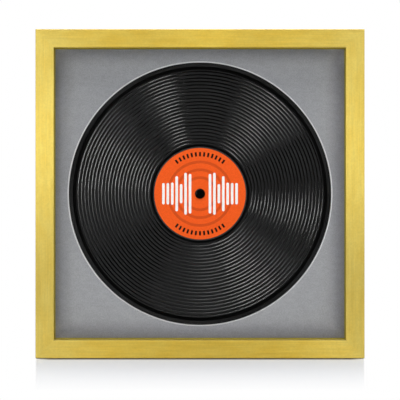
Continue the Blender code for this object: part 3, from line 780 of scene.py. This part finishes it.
def record_profile():
    """Radius, depth behind the front and material of the next band, from the hole round to the back."""
    thick = DISC_HIGH.y - DISC_LOW.y
    recess = LABEL_THICKNESS + THIN_GAP
    label = LABEL_RADIUS + THIN_GAP
    run_out = label + BEAD_WIDTH
    rings_from = run_out + RUN_OUT_WIDTH + SMOOTH_BAND_WIDTH
    rim = RECORD_RADIUS - RIM_WIDTH
    lead_in = rim - LEAD_IN_WIDTH
    return [
        (SPINDLE_RADIUS, recess, 1),
        (label, recess, 1),
        (label, 0, 3),
        (run_out, 0, 2),
        (run_out + GROOVE_SLOPE, GROOVE_DEPTH, 2),
        (run_out + RUN_OUT_WIDTH - GROOVE_SLOPE, GROOVE_DEPTH, 2),
        (run_out + RUN_OUT_WIDTH, LAND_SINK, 0),
        *ring_profile(rings_from, lead_in - SMOOTH_BAND_WIDTH),
        (lead_in, LAND_SINK, 2),
        (lead_in + GROOVE_SLOPE, GROOVE_DEPTH, 2),
        (rim - GROOVE_SLOPE, GROOVE_DEPTH, 2),
        (rim, 0, 0),
        (RECORD_RADIUS - EDGE_ROUND, 0, 1),
        (RECORD_RADIUS, EDGE_ROUND, 1),
        (RECORD_RADIUS, thick - EDGE_ROUND, 1),
        (RECORD_RADIUS - EDGE_ROUND, thick, 1),
        (rim, thick, 1),
        (rim, thick - BACK_SINK, 0),
        (run_out, thick - BACK_SINK, 1),
        (run_out, thick, 1),
        (label, thick, 1),
        (label, thick - recess, 1),
        (SPINDLE_RADIUS, thick - recess, 1),
    ]


def make_record(materials):
    """The record, in the four finishes that its profile's indices name."""
    shape = turned_profile(record_profile(), RECORD_TURNS, CENTRE + Vector((0, DISC_LOW.y, 0)))
    names = ("vinyl_grooved", "vinyl_polished", "vinyl_groove", "vinyl_bead")
    finishes = [materials[name] for name in names]
    record = new_object("record", finished(shape, "record", RECORD_SHARP), *finishes)
    take_place(record, "vinyl", "frame", "record_disc")


def make_labels(materials):
    """The paper labels on both sides, each with the spindle's hole."""
    profile = [
        (SPINDLE_RADIUS, 0, 0),
        (LABEL_RADIUS, 0, 0),
        (LABEL_RADIUS, LABEL_THICKNESS, 0),
        (SPINDLE_RADIUS, LABEL_THICKNESS, 0),
    ]
    for side in ("front", "back"):
        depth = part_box("label_" + side)[0].y
        name = "paper_label_" + side
        shape = turned_profile(profile, LABEL_TURNS, CENTRE + Vector((0, depth, 0)))
        label = new_object(name, finished(shape, name), materials["label_paper"])
        take_place(label, "label_paper", "frame", "label_" + side)


def bar_height(number):
    """The height of a bar of the printed sound wave, counted outwards from the hole."""
    swing = BAR_LEAST + (1 - BAR_LEAST) * abs(math.sin(BAR_SWING * number + BAR_SWING_START))
    return BAR_TALLEST * swing * (1 - BAR_FALL * number)


def make_print(materials):
    """White bars like a sound wave across the label, darker rings under it, and black ticks."""
    high = LABEL_LOW.y
    low = high - PRINT_HEIGHT
    radius = BAR_WIDTH / 2
    white, black, tone = bmesh.new(), bmesh.new(), bmesh.new()
    for sign in (-1, 1):
        for number in range(BAR_COUNT):
            x = sign * (BAR_FIRST + number * BAR_PITCH)
            half = bar_height(number) / 2 - radius
            outline = arc((x, CENTRE_Z + half), radius, 0, 180, ARC_STEPS)
            outline += arc((x, CENTRE_Z - half), radius, 180, 360, ARC_STEPS)
            prism(white, outline, low, high)
    for start, end in TICK_ARCS:
        for angle in range(start, end + 1, TICK_STEP):
            out = Vector((math.cos(math.radians(angle)), math.sin(math.radians(angle))))
            aside = Vector((-out.y, out.x)) * TICK_WIDTH / 2
            corners = [out * TICK_INNER - aside, out * TICK_OUTER - aside, out * TICK_OUTER + aside]
            corners.append(out * TICK_INNER + aside)
            prism(black, [(c.x, CENTRE_Z + c.y) for c in corners], low, high)
    middle = (low + high) / 2
    for inner, outer in TONE_RINGS:
        profile = [(inner, middle, 0), (outer, middle, 0), (outer, high, 0), (inner, high, 0)]
        add_turned(tone, lambda across, up: profile, LABEL_TURNS, CENTRE)
    for colour, shape in (("white", white), ("black", black), ("tone", tone)):
        name = "label_print_" + colour
        piece = new_object(name, finished(shape, name), materials[colour + "_ink"])
        take_place(piece, "label_paper", "frame")


def make_mount(materials):
    """The mount with a round window, whose bevelled edge shows the white core."""
    low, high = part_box("mount_board")
    half = (high.x - low.x) / 2
    depth = high.y - low.y
    rim = RECORD_RADIUS + RECORD_CLEARANCE

    def section(across, up):
        edge = half / max(abs(across), abs(up))
        return [
            (edge, 0, 0),
            (rim + BEVEL_WIDTH, 0, 1),
            (rim, BEVEL_DEPTH, 1),
            (rim, depth, 1),
            (edge, depth, 1),
        ]

    shape = turned_shape(section, LABEL_TURNS, CENTRE + Vector((0, low.y, 0)))
    finishes = materials["grey_mount"], materials["mount_core"]
    mount = new_object("mount", finished(shape, "mount"), *finishes)
    take_place(mount, "grey_mount", "frame", "mount_board")


def make_mitre_fillers(materials):
    """Gold filler in the four mitres, sunk just under the faces, that closes their hairline gaps."""
    inner, wall, outer = (share * math.sqrt(2) for share in (OPENING_HALF, REBATE_HALF, SIDE / 2))
    end, half = outer - FILLER_END, FILLER_HALF
    for number in range(4):
        shape = bmesh.new()
        for start, front, back in (
            (inner + FILLER_SINK, FRONT + FILLER_SINK, FRONT + LIP_THICKNESS),
            (wall + FILLER_SINK, FRONT + LIP_THICKNESS, BACK - NAIL_ZONE),
        ):
            outline = [(start, -half), (end, -half), (end, half), (start, half)]
            prism(shape, outline, front, back)
        spin = Matrix.Rotation(math.radians(45 + 90 * number), 4, "Y")
        shape.transform(Matrix.Translation(CENTRE) @ spin)
        name = f"mitre_filler_{number + 1}"
        filler = new_object(name, finished(shape, name), materials["gold_foil"])
        take_place(filler, "gold_rail", "frame")


def make_stud(materials):
    """The black head in the middle of the label, with its hollow barrel."""
    low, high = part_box("record_stud")
    barrel = high.y - low.y - STUD_HEAD_HEIGHT
    profile = [
        *crown((high.x - low.x) / 2, STUD_HEAD_HEIGHT),
        (STUD_BARREL_RADIUS, 0, 0),
        (STUD_BARREL_RADIUS, -barrel, 0),
        (STUD_BORE_RADIUS, -barrel, 0),
        (STUD_BORE_RADIUS, -STUD_FLOOR, 0),
        (0, -STUD_FLOOR, 0),
    ]
    towards_front = [(radius, -depth, index) for radius, depth, index in profile]
    seat = CENTRE + Vector((0, low.y + STUD_HEAD_HEIGHT, 0))
    shape = turned_profile(towards_front, HEAD_TURNS, seat)
    stud = new_object("stud", finished(shape, "stud"), materials["black_stud"])
    take_place(stud, "black_stud", "frame", "record_stud")


def screw_mesh(name, node, head_height, shank_radius, tip, material):
    """A pan-head screw with a cross recess, its seat at the origin and its head towards +Y."""
    low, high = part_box(node)
    head = (high.x - low.x) / 2
    length = high.y - low.y - head_height
    profile = [
        *crown(head, head_height),
        (shank_radius, 0, 0),
        (shank_radius, tip - length, 0),
        (shank_radius * SCREW_POINT_SHARE, -length, 0),
        (0, -length, 0),
    ]
    shape = turned_profile(profile, HEAD_TURNS, Vector((0, 0, 0)))
    blank = new_object(name, finished(shape, name), material)
    arm, half = head * CROSS_SHARE, CROSS_WIDTH / 2
    quarter = [(arm, -half), (arm, half), (half, half)]
    outline = []
    for turn in range(4):
        spin = Matrix.Rotation(math.radians(90 * turn), 2)
        outline += [tuple(spin @ Vector(point)) for point in quarter]
    cross = bmesh.new()
    prism(cross, outline, head_height - CROSS_DEPTH, head_height + CROSS_DEPTH)
    return combined(blank, new_object("cross", finished(cross, "cross")), "DIFFERENCE")


def place_screw(mesh, node, head_height, slot):
    """Puts the screw where the node is, with its seat under the head."""
    low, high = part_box(node)
    screw = new_object("finished_" + node, mesh)
    screw.location = ((low.x + high.x) / 2, high.y - head_height, (low.z + high.z) / 2)
    take_place(screw, slot, "frame", node)


def make_screws(materials):
    """The stud's screw, and the wood screws of the turn buttons and the hangers."""
    height, radius = STUD_SCREW_HEAD_HEIGHT, STUD_SCREW_SHANK_RADIUS
    black = materials["black_stud"]
    mesh = screw_mesh("stud_back_screw", "stud_screw", height, radius, STUD_SCREW_TIP, black)
    place_screw(mesh, "stud_screw", height, "black_stud")
    nodes = starting_with("turn_button_screw_", "hanger_screw_")
    height, radius = WOOD_SCREW_HEAD_HEIGHT, WOOD_SCREW_SHANK_RADIUS
    mesh = screw_mesh("wood_screw", nodes[0], height, radius, SCREW_TIP, materials["screw_steel"])
    for node in nodes:
        place_screw(mesh, node, height, "screw_steel")


def screw_hole(drop, low, high):
    """A tool that drills a hole for a wood screw, drop below the origin, from depth low to high."""
    hole = bmesh.new()
    rim = WOOD_SCREW_SHANK_RADIUS + SCREW_CLEARANCE
    prism(hole, arc((0, -drop), rim, 0, 360, 3 * ARC_STEPS)[:-1], low, high)
    return new_object("hole", finished(hole, "hole"))


def leaf_mesh(reach, thickness, material):
    """A sheet leaf: a round eye at the origin, a boss for the screw and a rib to the round tip."""
    tip = reach - BUTTON_TIP_RADIUS
    lean = math.degrees(math.asin((BUTTON_EYE_RADIUS - BUTTON_TIP_RADIUS) / tip))
    outline = arc((0, 0), BUTTON_EYE_RADIUS, 180 - lean, 360 + lean, 3 * ARC_STEPS)
    outline += arc((0, tip), BUTTON_TIP_RADIUS, lean, 180 - lean, 2 * ARC_STEPS)
    plate = bmesh.new()
    prism(plate, outline, 0, BUTTON_SHEET)
    half = BUTTON_RIB_WIDTH / 2
    side = math.degrees(math.asin(half / BUTTON_BOSS_RADIUS))
    raised = arc((0, 0), BUTTON_BOSS_RADIUS, 90 + side, 450 - side, 4 * ARC_STEPS)
    raised += arc((0, tip), half, 0, 180, ARC_STEPS)
    rib = bmesh.new()
    prism(rib, raised, BUTTON_SHEET / 2, thickness)
    blank = new_object("leaf", finished(plate, "leaf"), material)
    mesh = combined(blank, new_object("rib", finished(rib, "rib")), "UNION")
    drilled = new_object("drilled", mesh)
    return combined(drilled, screw_hole(0, -thickness, 2 * thickness), "DIFFERENCE")


def make_turn_buttons(materials):
    """The eight turn buttons, closed over the backing board."""
    low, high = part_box("turn_button_bottom_1")
    reach = high.z - low.z - BUTTON_EYE_RADIUS
    mesh = leaf_mesh(reach, high.y - low.y, materials["zinc"])
    for side, degrees in BUTTON_TURNS.items():
        for number in (1, 2):
            node = f"turn_button_{side}_{number}"
            screw_low, screw_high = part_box(f"turn_button_screw_{side}_{number}")
            leaf = new_object(f"leaf_{side}_{number}", mesh)
            middle = (screw_low + screw_high) / 2
            leaf.location = (middle.x, low.y, middle.z)
            leaf.rotation_euler.y = math.radians(degrees)
            soften(leaf, EDGE_BEVEL)
            take_place(leaf, "zinc", node, node)


def strap_mesh(width, plate, material):
    """A strip of sheet, round at its lower end, that rolls up into an open eye at the origin."""
    inner = RING_WIRE_RADIUS + EYE_CLEARANCE
    middle = inner + STRAP_SHEET / 2
    stations = []
    for step in range(ARC_STEPS):
        angle = math.radians(90 * (step + STRAP_TIP_STEP) / ARC_STEPS)
        drop = plate + width / 2 * math.cos(angle)
        stations.append((-drop, -middle, 90.0, width / 2 * math.sin(angle)))
    stations += [(-plate, -middle, 90.0, width / 2), (-2 * middle, -middle, 90.0, width / 2)]
    for step in range(6 * ARC_STEPS + 1):
        turn = -90 + EYE_WRAP_DEGREES * step / (6 * ARC_STEPS)
        angle = math.radians(turn)
        stations.append((middle * math.cos(angle), middle * math.sin(angle), turn + 180, width / 2))
    shape = bmesh.new()
    rows = []
    for z, y, facing, half in stations:
        out = Vector((0, math.sin(math.radians(facing)), math.cos(math.radians(facing))))
        out *= STRAP_SHEET / 2
        spot = Vector((0, y, z))
        aside = Vector((half, 0, 0))
        corners = (spot + out - aside, spot + out + aside, spot - out + aside, spot - out - aside)
        rows.append([shape.verts.new(corner) for corner in corners])
    for here, there in zip(rows, rows[1:]):
        for i in range(4):
            j = (i + 1) % 4
            shape.faces.new((here[i], here[j], there[j], there[i]))
    shape.faces.new(rows[0])
    shape.faces.new(rows[-1])
    strap = new_object("strap", finished(shape, "strap"), material)
    hole = screw_hole(STRAP_SCREW_DROP, -middle - STRAP_SHEET, -inner + STRAP_SHEET / 2)
    return combined(strap, hole, "DIFFERENCE")


def ring_mesh(half, material):
    """The D-ring's wire: a straight bar through the origin, two small corners and a round bow."""
    corner = RING_CORNER_RADIUS
    points = [
        *arc((corner - half, -corner), corner, 90, 180, ARC_STEPS),
        *arc((0, -RING_STRAIGHT), half, 180, 360, 4 * ARC_STEPS),
        *arc((half - corner, -corner), corner, 0, 90, ARC_STEPS),
    ]
    curve = bpy.data.curves.new("ring", "CURVE")
    curve.dimensions = "3D"
    curve.bevel_depth = RING_WIRE_RADIUS
    curve.bevel_resolution = WIRE_STEPS
    spline = curve.splines.new("POLY")
    spline.points.add(len(points) - 1)
    for point, (x, z) in zip(spline.points, points):
        point.co = (x, 0, z, 1)
    spline.use_cyclic_u = True
    wire = new_object("ring", curve)
    graph = bpy.context.evaluated_depsgraph_get()
    mesh = bpy.data.meshes.new_from_object(wire.evaluated_get(graph))
    bpy.data.objects.remove(wire)
    mesh.materials.clear()
    mesh.materials.append(material)
    mesh.shade_smooth()
    return mesh


def make_hangers(materials):
    """The two D-rings, each in the eye of its strap."""
    ring_low, ring_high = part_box("hanger_ring_left")
    strap_low, strap_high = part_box("hanger_strap_left")
    half = (ring_high.x - ring_low.x) / 2 - RING_WIRE_RADIUS
    wire = ring_mesh(half, materials["brass_plate"])
    width = strap_high.x - strap_low.x
    sheet = strap_mesh(width, STRAP_SCREW_DROP, materials["brass_plate"])
    for side in ("left", "right"):
        low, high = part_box("hanger_ring_" + side)
        eye = Vector(((low.x + high.x) / 2, (low.y + high.y) / 2, high.z - RING_WIRE_RADIUS))
        ring = new_object("wire_ring_" + side, wire)
        strap = new_object("strap_" + side, sheet)
        ring.location = eye
        strap.location = eye
        soften(strap, EDGE_BEVEL / 2)
        take_place(ring, "brass_plate", "hanger_ring_" + side, "hanger_ring_" + side)
        take_place(strap, "brass_plate", "frame", "hanger_strap_" + side)


def make_bumpers(materials):
    """The two soft domes behind the lower corners."""
    for side in ("left", "right"):
        low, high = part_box("wall_bumper_" + side)
        profile = [*crown((high.x - low.x) / 2, high.y - low.y), (0, 0, 0)]
        centre = Vector(((low.x + high.x) / 2, low.y, (low.z + high.z) / 2))
        name = "bumper_" + side
        shape = turned_profile(profile, HEAD_TURNS, centre)
        bumper = new_object(name, finished(shape, name), materials["bumper_rubber"])
        take_place(bumper, "bumper_rubber", "frame", "wall_bumper_" + side)


def make_camera():
    """A camera straight in front, at the height of the frame's centre."""
    data = bpy.data.cameras.new("camera")
    camera = new_object("camera", data)
    bpy.context.scene.camera = camera
    camera.location = (0, FRONT - CAMERA_DISTANCE, CENTRE_Z)
    camera.rotation_euler = (math.radians(90), 0, 0)
    data.sensor_width = SENSOR
    data.lens = FRAME_PIXELS / SIDE * CAMERA_DISTANCE * SENSOR / IMAGE_SIDE
    data.shift_y = (FRAME_CENTRE_Y - IMAGE_SIDE / 2) / IMAGE_SIDE
    data.clip_start = CLIP_START
    data.clip_end = CLIP_END


def make_lamps():
    """Soft lamps round the front axis, where the record's highlights ask for them."""
    for name, (azimuth, polar, half_round, half_off, radiance) in LAMPS.items():
        a, p = math.radians(azimuth), math.radians(polar)
        out = Vector((math.sin(p) * math.cos(a), -math.cos(p), math.sin(p) * math.sin(a)))
        around = Vector((-math.sin(a), 0, math.cos(a)))
        width = 2 * LAMP_DISTANCE * math.sin(p) * math.tan(math.radians(half_round))
        height = 2 * LAMP_DISTANCE * math.tan(math.radians(half_off))
        data = bpy.data.lights.new(name, "AREA")
        data.shape = "RECTANGLE"
        data.size = width
        data.size_y = height
        data.energy = radiance * math.pi * width * height
        lamp = new_object(name, data)
        turn = Matrix((around, out.cross(around), out)).transposed().to_4x4()
        lamp.matrix_world = Matrix.Translation(CENTRE + out * LAMP_DISTANCE) @ turn
        lamp.visible_camera = False


def make_world():
    """Even light, a white background, and a dark room in front that the glossy blacks mirror."""
    world = bpy.data.worlds.new("studio")
    bpy.context.scene.world = world
    world.use_nodes = True
    tree = world.node_tree
    background = tree.nodes["Background"]
    background.inputs["Color"].default_value = WHITE
    glossy, seen = ray_kinds(tree)
    direction = add_node(tree, "TexCoord").outputs["Generated"]
    depth = add_node(tree, "SeparateXYZ", {0: direction}).outputs["Y"]
    behind = map_range(tree, depth, -FRONT_BLEND, FRONT_BLEND, FRONT_DARK, 1.0)
    soft = mix_values(tree, glossy, AMBIENT, behind)
    tree.links.new(mix_values(tree, seen, soft, 1.0), background.inputs["Strength"])


def open_floor(tree, place, x, y):
    """0 where the strip of shadow lies, and 1 on the white floor round it. The shadow in the strip
    comes from the lamps; its fade ahead and its straight sides are painted, by the blend to the white
    floor.
    """
    far = soft_range(tree, length_of(tree, place), *SHADOW_ROUND)
    forwards = math_node(tree, "MINIMUM", math_node(tree, "SUBTRACT", y, FRONT), 0.0)
    half = math_node(tree, "MULTIPLY_ADD", forwards, SHADOW_NARROWING, SIDE / 2)
    aside = math_node(tree, "SUBTRACT", math_node(tree, "ABSOLUTE", x), half)
    past = map_range(tree, aside, -SHADOW_EDGE, 0.0)
    ahead = map_range(tree, y, FRONT - SHADOW_START, FRONT - SHADOW_END)
    faded = math_node(tree, "POWER", ahead, SHADOW_FADE)
    return math_node(tree, "MAXIMUM", math_node(tree, "MAXIMUM", far, faded), past)


def outside_painted_contact_shadow(tree, place):
    """The level of the floor's painted contact shadow: dark at the frame's foot, and 1 beyond its
    reach.
    """
    corner = (SIDE / 2 - CONTACT_REACH, BACK, 0)
    outside = vector_node(tree, "SUBTRACT", vector_node(tree, "ABSOLUTE", place), corner)
    beside = length_of(tree, vector_node(tree, "MAXIMUM", outside, (0, 0, 0)))
    return soft_range(tree, beside, 0.0, CONTACT_REACH, CONTACT_PAINTED_SHADOW, 1.0)


def mirrored_floor(tree, x, y):
    """What glossy rays see of the floor: dark in front, bright behind, and a glow at the left."""
    dim = map_range(tree, y, 0.0, DARK_DEPTH, FRONT_DARK, 1.0)
    glow = math_node(tree, "ADD", map_range(tree, x, *NEAR_GLOW), map_range(tree, x, *FAR_GLOW))
    slant = math_node(tree, "DIVIDE", y, x)
    glow = math_node(tree, "MULTIPLY", glow, map_range(tree, slant, *GLOW_SLANT))
    return math_node(tree, "MAXIMUM", dim, glow)


def make_floor():
    """A white floor that keeps the object's shadow in one strip in front of it and behind, with a
    painted contact shadow at the frame's foot.
    """
    shape = bmesh.new()
    bmesh.ops.create_grid(shape, x_segments=1, y_segments=1, size=FLOOR_HALF)
    mesh = bpy.data.meshes.new("floor")
    shape.to_mesh(mesh)
    shape.free()
    material, tree, shader = new_material("floor")
    shader.inputs["Base Color"].default_value = FLOOR_COLOUR
    shader.inputs["Roughness"].default_value = FLOOR_ROUGHNESS
    shader.inputs["Specular IOR Level"].default_value = FLOOR_SPECULAR
    place = add_node(tree, "TexCoord").outputs["Object"]
    parts = add_node(tree, "SeparateXYZ", {0: place})
    x, y = parts.outputs["X"], parts.outputs["Y"]
    glossy, seen = ray_kinds(tree)
    plain = shader.outputs[0]
    lit = mix_shaders(tree, open_floor(tree, place, x, y), plain, glowing(tree, 1.0))
    # painted contact shadow: the floor is mixed towards black at the frame's foot
    lit = mix_shaders(tree, outside_painted_contact_shadow(tree, place), glowing(tree, 0.0), lit)
    shown = mix_shaders(tree, seen, plain, lit)
    shown = mix_shaders(tree, glossy, shown, glowing(tree, mirrored_floor(tree, x, y)))
    tree.links.new(shown, tree.nodes["Material Output"].inputs["Surface"])
    floor = new_object("floor", mesh, material)
    floor.location.z = -FLOOR_GAP


def starting_with(*starts):
    """The names of the CAD nodes that start so."""
    return [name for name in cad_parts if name.startswith(starts)]


def paint(names, material):
    """Gives CAD nodes a better material."""
    for name in names:
        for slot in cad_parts[name].material_slots:
            slot.material = material


def main():
    """Builds the scene: camera, light and floor, then the pieces, then the CAD nodes that stay."""
    bpy.context.scene.view_settings.view_transform = "Standard"
    make_camera()
    make_lamps()
    make_world()
    make_floor()
    materials = make_materials()
    make_record(materials)
    make_labels(materials)
    make_print(materials)
    make_mount(materials)
    make_mitre_fillers(materials)
    make_stud(materials)
    make_screws(materials)
    make_turn_buttons(materials)
    make_hangers(materials)
    make_bumpers(materials)
    paint(starting_with("rail_"), materials["gold_foil"])
    # the fillets get the foil painted dark as the recess's shade
    paint(starting_with("fillet_"), materials["painted_shade_foil"])
    paint(starting_with("v_nail_"), materials["nail_steel"])
    paint(["glazing_sheet"], materials["clear_sheet"])
    paint(["record_card"], materials["card"])
    paint(["backing_board"], materials["fibreboard"])


main()
